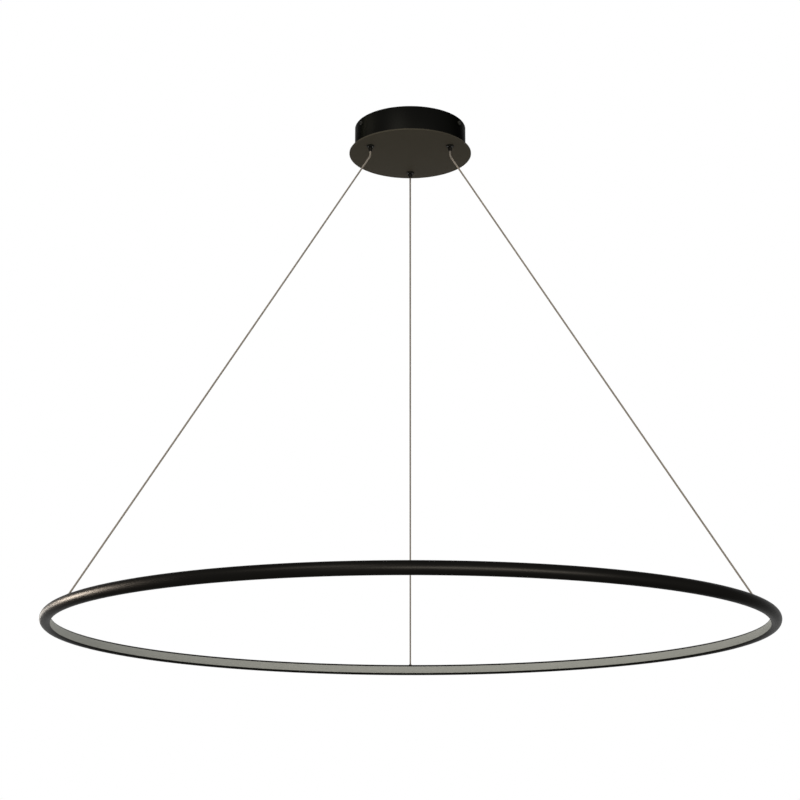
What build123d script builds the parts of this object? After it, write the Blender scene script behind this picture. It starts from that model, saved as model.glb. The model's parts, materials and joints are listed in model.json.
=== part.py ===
from build123d import *
from build123d.topology import SkipClean
import os
from math import atan2, cos, degrees, pi, radians, sin, sqrt, tan

os.makedirs("parts", exist_ok=True)

# LED ring pendant light, in millimetres, +Z up. The origin is the centre of the canopy on the ceiling,
# +Y points to the rear cable, and the ring hangs level below the canopy on three cables.

# Driving dimensions of the ring
ring_diameter = 1200.0  # outside of the tube
tube_diameter = 20.0
tube_wall = 1.8
slot_lip = 3.4  # height of the tube left above and below the light slot
channel_depth = 2.5  # lead channel behind the seat of the light strip
seat_web = 1.2
strip_width = 8.0
strip_thickness = 0.4
bead_width = 4.0
bead_height = 1.0
adhesive_film = 0.1

# Driving dimensions of the diffuser, an opal strip that snaps into the slot
diffuser_wall = 1.6
diffuser_dome = 1.0
face_recess = 0.5  # edge of the face behind the edge of the slot
barb_overhang = 0.2
barb_thickness = 1.1
snap_clearance = 0.15
slot_clearance = 0.1

# Driving dimensions of the canopy
cup_diameter = 196.6
cup_height = 46.0
cup_wall = 1.2
cup_lip = 7.2  # inward lip that the plate is bolted to
plate_overhang = 9.7  # plate edge beyond the cup
plate_thickness = 3.0
plate_edge_round = 0.8
stud_diameter = 3.0
stud_height = 6.0
nut_width = 5.5
nut_height = 2.4
screw_fit = 0.1  # radial room round a screw or a stud
cut_margin = 1.0  # how far a cut runs past a face

# Driving dimensions of the ceiling bracket
hub_diameter = 110.0
bracket_thickness = 2.0
arm_width = 24.0
ear_height = 18.0
bend_radius = 2.5
cup_slip = 0.6  # ear to cup wall
ceiling_screw_spacing = 80.0
ceiling_slot_length = 14.0
ceiling_slot_width = 5.0
grommet_hole = 14.0
grommet_bore = 9.0
grommet_flange = 20.0
grommet_flange_thickness = 2.5
side_screw_drop = 10.0  # below the ceiling
side_screw_diameter = 4.0
side_screw_length = 9.0
side_head_diameter = 7.6
side_head_height = 2.4
side_head_round = 1.2
side_socket_width = 2.5
side_socket_depth = 1.4

# Driving dimensions of the suspension
drop = 843.0  # plate underside to the middle of the ring
cable_diameter = 3.0
core_diameter = 1.2
core_fit = 0.05
exit_bend_drop = 9.0  # nozzle tip to the corner of the cable's bend
exit_straight = 0.1  # straight run before the bend
gripper_inset = 16.5  # gripper axis to the inner wall of the cup
cable_sides = ("rear", "left", "right")
first_azimuth = 90.0  # of the rear cable; the others follow at even steps
live_cables = {"positive": "right", "negative": "rear"}

# Driving dimensions of a cable gripper
grip_ball_diameter = 2.6
grip_ball_count = 3
grip_ball_height = 10.0  # above the plate underside
grip_gap = 0.05
grip_angle = 8.0
cage_cover = 0.55
cage_rise = 1.2
cage_bore_room = 0.25
plunger_fit = 0.06
plunger_travel = 2.0
nozzle_reach = 10.5  # nozzle tip below the plate
nozzle_diameter = 8.6
tip_diameter = 5.2
mouth_flare = 0.6
shank_wall = 1.05
body_wall = 1.5
spring_wire = 0.6
spring_coils = 5
spring_length = 9.0
spring_seat_gap = 0.1
cap_thickness = 3.5
thread_fit = 0.06
bush_wall = 1.0
bush_flange_width = 3.0
bush_flange_thickness = 1.5
bush_fit = 0.1
collar_thickness = 2.0
collar_diameter = 14.0
collar_chamfer = 0.7
terminal_barrel_diameter = 7.0
terminal_barrel_height = 9.0
terminal_depth = 6.0  # cable tail inside the barrel

# Driving dimensions of a cable anchor in the ring
anchor_ball_diameter = 4.4
anchor_ball_room = 0.15
anchor_plug_wall = 0.7
anchor_plug_inset = 0.4
anchor_bore_room = 0.2
anchor_stretch = 40.0  # length of tube with an anchor window in its middle
anchor_fit = 0.05
strip_lead_diameter = 1.2
strip_lead_run = 12.0  # along the tube, from one bend to the next

# Driving dimensions of the driver, the terminal block and the inner leads
driver_length = 118.0
driver_width = 40.0
driver_height = 25.0
driver_wall = 1.8
driver_y = 18.0
lid_thickness = 2.0
lid_rim = 3.0
lid_fit = 0.1
board_thickness = 1.6
board_clearance = 0.5
board_post_height = 4.0
board_post_diameter = 5.0
board_post_inset = 15.0  # from the end of the case
transformer_length = 22.0
transformer_width = 18.0
capacitor_diameter = 12.0
capacitor_offset = 28.0
lug_length = 12.0
lug_width = 14.0
lug_thickness = 2.5
module_screw_diameter = 3.0
module_head_diameter = 5.6
module_head_height = 2.0
module_screw_bite = 2.0  # thread in the plate
block_length = 38.0
block_depth = 18.0
block_height = 16.0
block_y = -46.0
block_ear = 8.0
pole_count = 3
pole_pitch = 12.0
pole_height = 7.0
insert_diameter = 5.0
insert_bore = 3.2
insert_fit = 0.05
pole_screw_diameter = 2.6
pole_head_room = 0.3
earth_x = 34.0
earth_y = -22.0
earth_screw_diameter = 4.0
earth_head_diameter = 7.0
earth_head_height = 2.6
earth_tag_diameter = 9.0
earth_tag_thickness = 0.8
lead_diameter = 2.0
lead_gap = 0.1
lead_spread = 8.0  # between the two leads at one end of the driver
lead_height = 11.0  # above the plate

# Levels and radii that follow
tube_radius = tube_diameter / 2
cavity_radius = tube_radius - tube_wall
ring_radius = ring_diameter / 2 - tube_radius
cup_radius = cup_diameter / 2
cup_inner = cup_radius - cup_wall
plate_radius = cup_radius + plate_overhang
plate_top = -cup_height
plate_bottom = plate_top - plate_thickness
ring_z = plate_bottom - drop
gripper_radius = cup_inner - gripper_inset
stud_circle = cup_inner - cup_lip / 2
cable_step = 360 / len(cable_sides)
cable_azimuths = {side: first_azimuth + cable_step * index for index, side in enumerate(cable_sides)}

# Slot, seat and diffuser levels, measured from the middle of the tube
slot_half = tube_radius - slot_lip
seat_offset = cavity_radius - channel_depth - seat_web
strip_face = seat_offset - adhesive_film - strip_thickness
diffuser_half = slot_half - slot_clearance
barb_half = slot_half + barb_overhang
barb_face = sqrt((cavity_radius - snap_clearance) ** 2 - barb_half**2)
barb_back = barb_face - barb_thickness
face_edge = sqrt(tube_radius**2 - slot_half**2) - face_recess

# Gripper levels, measured from the plate underside
grip_ball_radius = grip_ball_diameter / 2
cable_radius = cable_diameter / 2
ball_track = cable_radius + grip_ball_radius + grip_gap
cone_at_ball = ball_track + (grip_ball_radius + 2 * grip_gap) / cos(radians(grip_angle))
cage_radius = ball_track + cage_cover
cage_bore = cable_radius + cage_bore_room
cage_top = grip_ball_height + grip_ball_radius + cage_rise
stem_bore = cage_radius + plunger_fit
cone_slope = tan(radians(grip_angle))
cone_bottom = grip_ball_height - (cone_at_ball - stem_bore - grip_gap) / cone_slope
cone_top = grip_ball_height + grip_ball_radius + plunger_travel
chamber_radius = cone_at_ball + (cone_top - grip_ball_height) * cone_slope
shank_radius = stem_bore + shank_wall
body_radius = chamber_radius + body_wall
bush_bore = shank_radius + bush_fit
bush_sleeve = bush_bore + bush_wall
bush_flange_radius = bush_sleeve + bush_flange_width
plate_hole = bush_sleeve + bush_fit
body_seat = plate_thickness + bush_flange_thickness
cap_seat = cage_top + spring_length
body_top = cap_seat + cap_thickness
button_top = -(collar_thickness + plunger_travel + bush_fit)
barrel_top = body_top + terminal_barrel_height
tail_top = body_top + terminal_depth

# Cable anchor: the ball hangs under the top of the tube and the cable leaves it towards the gripper
anchor_ball_radius = anchor_ball_diameter / 2
anchor_rise = cavity_radius - anchor_ball_radius - anchor_ball_room
anchor_point = Vector(ring_radius, 0, ring_z + anchor_rise)
nozzle_tip = Vector(gripper_radius, 0, plate_bottom - nozzle_reach)
bend_corner = nozzle_tip - Vector(0, 0, exit_bend_drop)
cable_direction = (bend_corner - anchor_point).normalized()
cable_end = anchor_point + cable_direction * (anchor_ball_radius + anchor_ball_room)
anchor_bore = cable_radius + anchor_bore_room
anchor_plug_half = anchor_bore + anchor_plug_wall


def save(name, shape):
    """Write one node."""
    export_step(shape, f"parts/{name}.step")


def group(shapes):
    """Several separate solids that share one node."""
    return Compound(children=list(shapes))


def turned(points):
    """A solid of revolution about Z from corners given as (radius, height)."""
    outline = make_face(Polyline(*points, close=True))
    return revolve(Plane.XZ * outline, axis=Axis.Z)


def upright(radius, bottom, top, x=0.0, y=0.0):
    """A vertical cylinder between two heights."""
    return Pos(x, y, (bottom + top) / 2) * Cylinder(radius, top - bottom)


def block(x_span, y_span, z_span):
    """A box between two corners."""
    size = [high - low for low, high in (x_span, y_span, z_span)]
    middle = [(high + low) / 2 for low, high in (x_span, y_span, z_span)]
    return Pos(*middle) * Box(*size)


def tube_along(points, radii, outer, inner=0.0):
    """A tube along straight runs that are joined by tangent arcs."""
    path = FilletPolyline(*points, radius=radii) if radii else Polyline(*points)
    start = Plane(path @ 0, z_dir=path % 0)
    section = Circle(outer)
    if inner:
        section -= Circle(inner)
    return sweep(start * section, path=path), path.length


def turn_radii(points, share=0.45):
    """The largest arc that the two runs at each corner leave room for."""
    spots = [Vector(*point) for point in points]
    radii = []
    for before, corner, after in zip(spots, spots[1:], spots[2:]):
        arriving = corner - before
        leaving = after - corner
        turn = radians(arriving.get_angle(leaving))
        radii.append(share * min(arriving.length, leaving.length) / tan(turn / 2))
    return radii


def at_gripper(shape, azimuth):
    """Carry a gripper piece from the Z axis to its place in the plate."""
    return Rot(0, 0, azimuth) * Pos(gripper_radius, 0, plate_bottom) * shape


def around(shape, azimuths):
    """Copies of a shape turned about the Z axis."""
    return [Rot(0, 0, azimuth) * shape for azimuth in azimuths]


# Canopy cup: a rolled wall with a lip along its lower edge
def canopy_cup():
    wall = turned(
        [
            (cup_radius, 0),
            (cup_radius, plate_top),
            (cup_inner - cup_lip, plate_top),
            (cup_inner - cup_lip, plate_top + cup_wall),
            (cup_inner, plate_top + cup_wall),
            (cup_inner, 0),
        ]
    )
    screw_hole = Pos(cup_radius, 0, -side_screw_drop) * Rot(0, 90, 0)
    screw_hole *= Cylinder(side_screw_diameter / 2 + 2 * screw_fit, 4 * cup_wall)
    stud_hole = upright(
        stud_diameter / 2 + screw_fit, plate_top - cup_wall, plate_top + 2 * cup_wall, x=stud_circle
    )
    for hole in around(screw_hole, cable_azimuths.values()) + around(stud_hole, stud_azimuths):
        wall -= hole
    return wall


# Canopy plate: a flat disc with welded studs, gripper holes and tapped blind holes
def canopy_plate():
    plate = upright(plate_radius, plate_bottom, plate_top)
    rims = plate.edges().filter_by(GeomType.CIRCLE)
    plate = fillet(rims, plate_edge_round)
    studs = around(
        upright(stud_diameter / 2, plate_top, plate_top + stud_height, x=stud_circle), stud_azimuths
    )
    for stud in studs:
        plate += stud
    through = (plate_bottom - cut_margin, plate_top + cut_margin)
    gripper_hole = upright(plate_hole, *through, x=gripper_radius)
    for hole in around(gripper_hole, cable_azimuths.values()):
        plate -= hole
    blind = (plate_top - module_screw_bite - screw_fit, plate_top + cut_margin)
    for x, y in module_screw_places:
        plate -= upright(module_screw_diameter / 2 + screw_fit, *blind, x, y)
    return plate - upright(earth_screw_diameter / 2 + screw_fit, *blind, earth_x, earth_y)


# Hexagon nuts on the plate's studs
def plate_nuts():
    seat = plate_top + cup_wall
    nut = extrude(RegularPolygon(nut_width / 2, 6, major_radius=False), nut_height)
    nut -= Cylinder(stud_diameter / 2 + screw_fit / 2, 3 * nut_height)
    return group(around(Pos(stud_circle, 0, seat) * nut, stud_azimuths))


# Ceiling bracket: a round hub and three arms whose ends turn down inside the cup
def ceiling_bracket():
    reach = sqrt((cup_inner - cup_slip) ** 2 - (arm_width / 2) ** 2)
    inside = reach - bracket_thickness
    corners = [(0, 0), (reach, 0), (reach, -ear_height), (inside, -ear_height)]
    corners += [(inside, -bracket_thickness), (0, -bracket_thickness)]
    side = make_face(Polyline(*corners, close=True))
    side = fillet(side.vertices().sort_by_distance((reach, 0, 0))[0], bend_radius)
    arm = extrude(Plane.XZ * side, arm_width / 2, both=True)
    arm -= Pos(reach, 0, -side_screw_drop) * Rot(0, 90, 0) * Cylinder(
        side_screw_diameter / 2 + screw_fit / 2, 6 * bracket_thickness
    )
    bracket = upright(hub_diameter / 2, -bracket_thickness, 0)
    for copy in around(arm, cable_azimuths.values()):
        bracket += copy
    bracket -= Cylinder(grommet_hole / 2, 6 * bracket_thickness)
    slot = extrude(SlotOverall(ceiling_slot_length, ceiling_slot_width), 3 * bracket_thickness, both=True)
    for side_sign in (-1, 1):
        bracket -= Pos(side_sign * ceiling_screw_spacing / 2, 0, 0) * slot
    return bracket


# Rubber grommet in the middle of the bracket, flush with the ceiling
def mains_grommet():
    spigot = grommet_hole / 2 - screw_fit / 2
    bottom = -bracket_thickness - grommet_flange_thickness
    return turned(
        [
            (grommet_bore / 2, 0),
            (spigot, 0),
            (spigot, -bracket_thickness),
            (grommet_flange / 2, -bracket_thickness),
            (grommet_flange / 2, bottom),
            (grommet_bore / 2, bottom),
        ]
    )


# Side screws that hold the cup on the bracket's ears
def side_screws():
    head = Cylinder(side_head_diameter / 2, side_head_height, align=(Align.CENTER, Align.CENTER, Align.MIN))
    head = fillet(head.edges().sort_by(Axis.Z)[-1], side_head_round)
    socket = extrude(RegularPolygon(side_socket_width / 2, 6, major_radius=False), side_socket_depth)
    head -= Pos(0, 0, side_head_height - side_socket_depth) * socket
    shank = Cylinder(
        side_screw_diameter / 2, side_screw_length, align=(Align.CENTER, Align.CENTER, Align.MAX)
    )
    screw = Pos(cup_radius, 0, -side_screw_drop) * Rot(0, 90, 0) * (head + shank)
    return group(around(screw, cable_azimuths.values()))


# Driver case: a tray with a lug at each end, posts for the board and a hole for each lead
def driver_case():
    x_half = driver_length / 2
    y_span = (driver_y - driver_width / 2, driver_y + driver_width / 2)
    rim = plate_top + driver_height - lid_thickness
    case = block((-x_half, x_half), y_span, (plate_top, rim))
    case -= block(
        (driver_wall - x_half, x_half - driver_wall),
        (y_span[0] + driver_wall, y_span[1] - driver_wall),
        (plate_top + driver_wall, rim + cut_margin),
    )
    for sign in (-1, 1):
        ends = sorted((sign * x_half, sign * (x_half + lug_length)))
        lug_y = (driver_y - lug_width / 2, driver_y + lug_width / 2)
        case += block(ends, lug_y, (plate_top, plate_top + lug_thickness))
        case -= upright(
            module_screw_diameter / 2 + screw_fit,
            plate_top - cut_margin,
            plate_top + lug_thickness + cut_margin,
            sign * (x_half + lug_length / 2),
            driver_y,
        )
        for x, y in board_post_places:
            case += upright(
                board_post_diameter / 2, plate_top, plate_top + driver_wall + board_post_height, x, y
            )
        for offset in lead_offsets:
            place = Pos(sign * x_half, driver_y + offset, lead_z) * Rot(0, 90, 0)
            case -= place * Cylinder(lead_diameter / 2 + lead_gap, 4 * driver_wall)
    return case


# Driver lid with a rim that drops into the case
def driver_lid():
    x_half = driver_length / 2
    y_half = driver_width / 2
    top = plate_top + driver_height
    lid = block((-x_half, x_half), (driver_y - y_half, driver_y + y_half), (top - lid_thickness, top))
    inset = driver_wall + lid_fit
    rim = block(
        (inset - x_half, x_half - inset),
        (driver_y - y_half + inset, driver_y + y_half - inset),
        (top - lid_thickness - lid_rim, top - lid_thickness),
    )
    inset += driver_wall
    rim -= block(
        (inset - x_half, x_half - inset),
        (driver_y - y_half + inset, driver_y + y_half - inset),
        (top - lid_thickness - lid_rim - cut_margin, top - lid_thickness),
    )
    return lid + rim


# Driver board on the posts of the case, with a transformer and capacitors on it
def driver_board():
    inset = driver_wall + board_clearance
    bottom = plate_top + driver_wall + board_post_height
    x_half = driver_length / 2 - inset
    y_half = driver_width / 2 - inset
    board = block(
        (-x_half, x_half), (driver_y - y_half, driver_y + y_half), (bottom, bottom + board_thickness)
    )
    deck = bottom + board_thickness
    room = plate_top + driver_height - lid_thickness - lid_rim - deck - board_clearance
    board += block(
        (-transformer_length / 2, transformer_length / 2),
        (driver_y - transformer_width / 2, driver_y + transformer_width / 2),
        (deck, deck + room),
    )
    for sign in (-1, 1):
        board += upright(capacitor_diameter / 2, deck, deck + room, sign * capacitor_offset, driver_y)
    return board


# Screws that hold the driver and the terminal block on the plate
def module_screws():
    seat = plate_top + lug_thickness
    screws = []
    for x, y in module_screw_places:
        shank = upright(module_screw_diameter / 2, plate_top - module_screw_bite, seat, x, y)
        head = upright(module_head_diameter / 2, seat, seat + module_head_height, x, y)
        screws.append(shank + head)
    return group(screws)


# Terminal block: a nylon moulding with a wire way for each pole
def terminal_block():
    y_span = (block_y - block_depth / 2, block_y + block_depth / 2)
    body = block((-block_length / 2, block_length / 2), y_span, (plate_top, plate_top + block_height))
    for sign in (-1, 1):
        ends = sorted((sign * block_length / 2, sign * (block_length / 2 + block_ear)))
        ear_y = (block_y - block_ear / 2, block_y + block_ear / 2)
        body += block(ends, ear_y, (plate_top, plate_top + lug_thickness))
        body -= upright(
            module_screw_diameter / 2 + screw_fit,
            plate_top - cut_margin,
            plate_top + lug_thickness + cut_margin,
            sign * (block_length + block_ear) / 2,
            block_y,
        )
    for x in pole_places:
        way = Pos(x, block_y, plate_top + pole_height) * Rot(90, 0, 0)
        body -= way * Cylinder(insert_diameter / 2 + insert_fit, 2 * block_depth)
        body -= upright(
            pole_screw_diameter / 2 + pole_head_room,
            plate_top + pole_height,
            plate_top + block_height + cut_margin,
            x,
            block_y,
        )
    return body


# Brass inserts in the terminal block
def terminal_inserts():
    inserts = []
    for x in pole_places:
        place = Pos(x, block_y, plate_top + pole_height)
        tube = Cylinder(insert_diameter / 2, block_depth) - Cylinder(insert_bore / 2, 2 * block_depth)
        insert = place * Rot(90, 0, 0) * tube
        insert -= upright(
            pole_screw_diameter / 2 + insert_fit,
            plate_top + pole_height,
            plate_top + block_height,
            x,
            block_y,
        )
        inserts.append(insert)
    return group(inserts)


# Slotted clamp screws, one for each pole
def terminal_screws():
    bottom = plate_top + pole_height + insert_bore / 4
    top = plate_top + block_height - pole_head_room
    screws = []
    for x in pole_places:
        screw = upright(pole_screw_diameter / 2, bottom, top, x, block_y)
        slot = Box(pole_screw_diameter, pole_screw_diameter / 4, pole_screw_diameter / 2)
        screws.append(screw - Pos(x, block_y, top) * slot)
    return group(screws)


# Earth screw with its tag
def earth_screw():
    seat = plate_top + earth_tag_thickness
    screw = upright(earth_screw_diameter / 2, plate_top - module_screw_bite, seat, earth_x, earth_y)
    screw += upright(earth_head_diameter / 2, seat, seat + earth_head_height, earth_x, earth_y)
    screw += upright(earth_tag_diameter / 2, plate_top, seat, earth_x, earth_y)
    return screw


# Inner leads, each along its own route from the driver or the terminal block
def inner_lead(points):
    lead, length = tube_along(points, turn_radii(points), lead_diameter / 2)
    straight_volume = pi * lead_diameter**2 / 4 * length
    print("inner lead", round(length, 1), "mm, volume ratio", round(lead.volume / straight_volume, 4))
    return lead


# Gripper body: a shank through the plate, a taper for the balls and a chamber for the spring
def gripper_body():
    bottom = -collar_thickness
    body = turned(
        [
            (stem_bore, bottom),
            (shank_radius, bottom),
            (shank_radius, body_seat),
            (body_radius, body_seat),
            (body_radius, body_top),
            (chamber_radius, body_top),
            (chamber_radius, cone_top),
            (stem_bore + grip_gap, cone_bottom),
            (stem_bore, cone_bottom),
        ]
    )
    return body


# Release plunger: a nozzle under the plate whose stem carries the balls
def gripper_plunger():
    tip = -nozzle_reach
    plunger = turned(
        [
            (cage_bore + mouth_flare, tip),
            (tip_diameter / 2, tip),
            (nozzle_diameter / 2, button_top),
            (cage_radius, button_top),
            (cage_radius, cage_top),
            (cage_bore, cage_top),
            (cage_bore, tip + 2 * mouth_flare),
        ]
    )
    pocket = Pos(0, 0, grip_ball_height) * Rot(0, 90, 0) * Cylinder(
        grip_ball_radius + grip_gap, 2 * cage_radius, align=(Align.CENTER, Align.CENTER, Align.MIN)
    )
    for copy in around(pocket, grip_ball_azimuths):
        plunger -= copy
    return plunger


def grip_balls():
    """Balls round the cable, in the pockets of the stem."""
    return around(Pos(ball_track, 0, grip_ball_height) * Sphere(grip_ball_radius), grip_ball_azimuths)


# Compression spring between the plunger's stem and the cap
def gripper_spring():
    mean = (cage_bore + cage_radius) / 2
    height = spring_length - spring_wire - 2 * spring_seat_gap
    base = cage_top + spring_wire / 2 + spring_seat_gap
    line = Pos(0, 0, base) * Helix(pitch=height / spring_coils, height=height, radius=mean)
    start = Plane(line @ 0, z_dir=line % 0)
    return sweep(start * Circle(spring_wire / 2), path=line, is_frenet=True)


def gripper_cap():
    return turned(
        [
            (cage_bore, cap_seat),
            (chamber_radius - thread_fit, cap_seat),
            (chamber_radius - thread_fit, body_top),
            (cage_bore, body_top),
        ]
    )


# Insulating bush between the gripper and the plate
def gripper_bush():
    return turned(
        [
            (bush_bore, bush_fit),
            (bush_sleeve, bush_fit),
            (bush_sleeve, plate_thickness),
            (bush_flange_radius, plate_thickness),
            (bush_flange_radius, body_seat),
            (bush_bore, body_seat),
        ]
    )


# Round collar on the shank, under the plate
def gripper_collar():
    bore = shank_radius + thread_fit
    return turned(
        [
            (bore, 0),
            (collar_diameter / 2, 0),
            (collar_diameter / 2, collar_chamfer - collar_thickness),
            (collar_diameter / 2 - collar_chamfer, -collar_thickness),
            (bore, -collar_thickness),
        ]
    )


# Clamp barrel on the end of the cable, which rests on the gripper's cap
def cable_terminal():
    barrel = upright(terminal_barrel_diameter / 2, body_top, barrel_top)
    return barrel - upright(cable_radius + core_fit, body_top - cut_margin, tail_top + core_fit)


# Suspension cable below the nozzle: a steel core in a clear sheath
def cable_route():
    return [tuple(nozzle_tip), tuple(bend_corner), tuple(cable_end)]


def cable_bend():
    """Radius of the arc that starts at the nozzle tip."""
    turn = radians((bend_corner - nozzle_tip).get_angle(cable_end - bend_corner))
    return (exit_bend_drop - exit_straight) / tan(turn / 2)


def cable_piece(outer, inner=0.0):
    piece, length = tube_along(cable_route(), [cable_bend()], outer, inner)
    section = pi * (outer**2 - inner**2)
    print(
        "cable", round(length, 1), "mm, bend radius", round(cable_bend(), 1),
        "mm, volume ratio", round(piece.volume / (section * length), 4),
    )
    return piece


# Ring sections, drawn with X outwards from the middle of the tube
def ring_turned(section, arc=360.0):
    """Carry a section round the ring, or along an arc that starts at the X axis."""
    return revolve(Plane.XZ * Pos(ring_radius, ring_z) * section, axis=Axis.Z, revolution_arc=arc)


def ring_profile():
    """A slotted tube. Short stretches with a window at each cable keep the long faces between them plain."""
    tube = Circle(tube_radius) - Circle(cavity_radius)
    web = Pos(seat_offset + seat_web / 2, 0) * Rectangle(seat_web, 2 * tube_radius)
    tube += web & Circle(tube_radius - tube_wall / 2)
    tube -= Pos(-tube_radius, 0) * Rectangle(2 * tube_radius, 2 * slot_half)
    seat_arc = degrees(anchor_stretch / ring_radius)
    seat = Rot(0, 0, -seat_arc / 2) * ring_turned(tube, seat_arc)
    seat -= anchor_window(anchor_plug_half + anchor_fit, Circle(2 * tube_radius))
    plain = Rot(0, 0, seat_arc / 2) * ring_turned(tube, cable_step - seat_arc)
    azimuths = cable_azimuths.values()
    first, *others = around(seat, azimuths) + around(plain, azimuths)
    with SkipClean():
        return first.fuse(*others)


def diffuser():
    hollow = diffuser_half - diffuser_wall
    front = face_edge - diffuser_wall
    outline = Polyline(
        (-face_edge, -diffuser_half),
        (-barb_face, -diffuser_half),
        (-barb_face, -barb_half),
        (-barb_back, -barb_half),
        (-barb_back, -hollow),
        (-front, -hollow),
        (-front, hollow),
        (-barb_back, hollow),
        (-barb_back, barb_half),
        (-barb_face, barb_half),
        (-barb_face, diffuser_half),
        (-face_edge, diffuser_half),
    )
    dome = ThreePointArc(
        (-face_edge, diffuser_half), (-face_edge - diffuser_dome, 0), (-face_edge, -diffuser_half)
    )
    return ring_turned(make_face(outline + dome))


def light_strip():
    middle = strip_face + strip_thickness / 2
    return ring_turned(Pos(middle, 0) * Rectangle(strip_thickness, strip_width))


def light_bead():
    base = strip_face - adhesive_film
    half = bead_width / 2
    chord = Line((base, -half), (base, half))
    dome = ThreePointArc((base, half), (base - bead_height, 0), (base, -half))
    return ring_turned(make_face(chord + dome))


# Cable anchors in the top of the tube
def anchor_window(half, limit):
    """A milled window along the cable, from the anchor ball outwards, as wide as it is long."""
    lean = Vector(cable_direction.X, cable_direction.Z)
    across = Vector(lean.Y, -lean.X) * half
    inner = Vector(0, anchor_rise)
    outer = inner + lean * tube_diameter
    corners = [inner - across, inner + across, outer + across, outer - across]
    section = make_face(Polyline(*[tuple(corner)[:2] for corner in corners], close=True)) & limit
    arc = degrees(2 * half / ring_radius)
    return Rot(0, 0, -arc / 2) * ring_turned(section, arc)


def anchor_plug():
    """A nylon plug in the window, with the cable's bore and a seat for the ball."""
    wall = Circle(tube_radius) - Circle(cavity_radius - anchor_plug_inset)
    plug = anchor_window(anchor_plug_half, wall)
    lie = Plane(anchor_point, z_dir=cable_direction)
    plug -= lie * Cylinder(anchor_bore, tube_diameter, align=(Align.CENTER, Align.CENTER, Align.MIN))
    return plug - Pos(*anchor_point) * Sphere(anchor_ball_radius + anchor_fit)


def anchor_ball():
    return Pos(*anchor_point) * Sphere(anchor_ball_radius)


def strip_lead():
    """A short lead along the tube, from the anchor ball down to the edge of the strip."""
    lead_radius = strip_lead_diameter / 2
    rest = strip_face - lead_radius - anchor_fit
    edge = (strip_width + bead_width) / 4
    start = anchor_ball_radius + anchor_fit
    places = [
        (0, anchor_rise),
        (0, anchor_rise),
        (rest / 2, (anchor_rise + edge) / 2),
        (rest, edge),
        (rest, edge - anchor_fit),
    ]
    points = []
    for step, (out, rise) in enumerate(places):
        angle = (start + step * strip_lead_run) / ring_radius
        reach = ring_radius + out
        points.append((reach * cos(angle), reach * sin(angle), ring_z + rise))
    lead, length = tube_along(points, turn_radii(points), lead_radius)
    print("strip lead", round(length, 1), "mm, radii", [round(radius, 1) for radius in turn_radii(points)])
    return lead


# Places that several pieces share
grip_ball_azimuths = [360 / grip_ball_count * index for index in range(grip_ball_count)]
stud_azimuths = [azimuth - cable_step / 2 for azimuth in cable_azimuths.values()]
pole_places = [pole_pitch * (index - (pole_count - 1) / 2) for index in range(pole_count)]
driver_screw_x = (driver_length + lug_length) / 2
block_screw_x = (block_length + block_ear) / 2
module_screw_places = [
    (-driver_screw_x, driver_y),
    (driver_screw_x, driver_y),
    (-block_screw_x, block_y),
    (block_screw_x, block_y),
]
post_x = driver_length / 2 - board_post_inset
post_y = driver_width / 2 - driver_wall - board_post_diameter
board_post_places = [(x, driver_y + y) for x in (-post_x, post_x) for y in (-post_y, post_y)]
lead_offsets = (-lead_spread / 2, lead_spread / 2)
lead_z = plate_top + lead_height
pole_z = plate_top + pole_height

# Routes of the inner leads
case_end = driver_length / 2
block_back = block_y + block_depth / 2
barrel_z = plate_bottom + (body_top + barrel_top) / 2
barrel_reach = terminal_barrel_diameter / 2 + lead_gap
right_x = gripper_radius * cos(radians(cable_azimuths["right"]))
right_y = gripper_radius * sin(radians(cable_azimuths["right"]))
lead_routes = {
    "live_lead": [
        (-case_end, driver_y + lead_offsets[1], lead_z),
        (-case_end - 16, driver_y + lead_offsets[1], lead_z),
        (-case_end - 15, -16, pole_z + 2),
        (pole_places[0], -17, pole_z),
        (pole_places[0], block_back, pole_z),
    ],
    "neutral_lead": [
        (-case_end, driver_y + lead_offsets[0], lead_z),
        (-case_end - 11, driver_y + lead_offsets[0], lead_z),
        (-case_end - 10, -10, pole_z + 2),
        (pole_places[1], -11, pole_z),
        (pole_places[1], block_back, pole_z),
    ],
    "earth_lead": [
        (pole_places[2], block_back, pole_z),
        (pole_places[2], earth_y + 1, pole_z),
        (earth_x - 12, earth_y, pole_z - 2),
        (earth_x - earth_tag_diameter / 2, earth_y, plate_top + lead_diameter / 2 + lead_gap),
    ],
    "positive_lead": [
        (case_end, driver_y + lead_offsets[0], lead_z),
        (case_end + 13, driver_y + lead_offsets[0], lead_z),
        (case_end + 15, -8, (lead_z + barrel_z) / 2),
        (right_x, right_y + 18, barrel_z),
        (right_x, right_y + barrel_reach, barrel_z),
    ],
    "negative_lead": [
        (case_end, driver_y + lead_offsets[1], lead_z),
        (case_end + 13, driver_y + lead_offsets[1] + 4, lead_z),
        (case_end + 5, 50, (lead_z + barrel_z) / 2),
        (24, gripper_radius - 3, barrel_z),
        (barrel_reach, gripper_radius, barrel_z),
    ],
}

# Canopy pieces
save("canopy_cup", canopy_cup())
save("canopy_plate", canopy_plate())
save("plate_nuts", plate_nuts())
save("ceiling_bracket", ceiling_bracket())
save("mains_grommet", mains_grommet())
save("side_screws", side_screws())
save("driver_case", driver_case())
save("driver_lid", driver_lid())
save("driver_board", driver_board())
save("module_screws", module_screws())
save("terminal_block", terminal_block())
save("terminal_inserts", terminal_inserts())
save("terminal_screws", terminal_screws())
save("earth_screw", earth_screw())
for lead_name, route in lead_routes.items():
    save(lead_name, inner_lead(route))

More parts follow.
